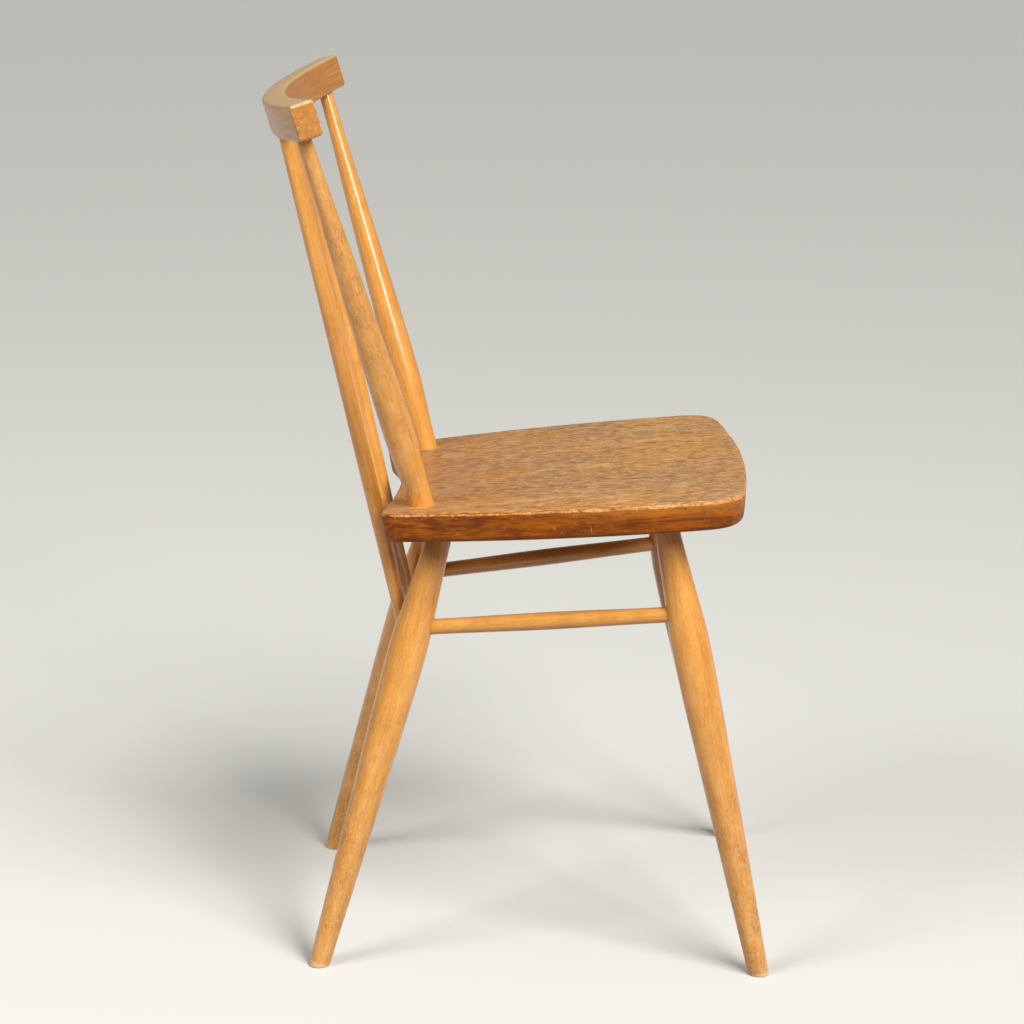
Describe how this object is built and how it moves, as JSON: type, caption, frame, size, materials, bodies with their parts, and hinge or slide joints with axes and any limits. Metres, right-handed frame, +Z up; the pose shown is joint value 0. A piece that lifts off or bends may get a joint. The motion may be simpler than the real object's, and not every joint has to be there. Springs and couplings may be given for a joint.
{
  "type": "side chair",
  "caption": "Turned wooden side chair: raked plank seat on splayed legs, swelling back posts and slim sticks under a bent top rail, worn varnish.",
  "frame": {"origin": "on the floor, under the middle of the chair's plan", "axes": "+Z up, -Y the way the chair faces, +X its left side"},
  "size_m": [0.4074, 0.4456, 0.7808],
  "materials": {
    "elm": "satin varnish, worn dull and grey-brown on top, chipped along the edges",
    "beech": "gloss varnish, honey coloured, mottled and worn low on the legs"
  },
  "bodies": {
    "root": {"seat": "elm", "front_leg_left": "beech", "front_leg_right": "beech", "rear_leg_left": "beech", "rear_leg_right": "beech", "side_stretcher_left": "beech", "side_stretcher_right": "beech", "rear_stretcher": "beech", "back_post_left": "beech", "back_post_right": "beech", "back_stick_left": "beech", "back_stick_middle": "beech", "back_stick_right": "beech", "top_rail": "beech"}
  },
  "joints": []
}
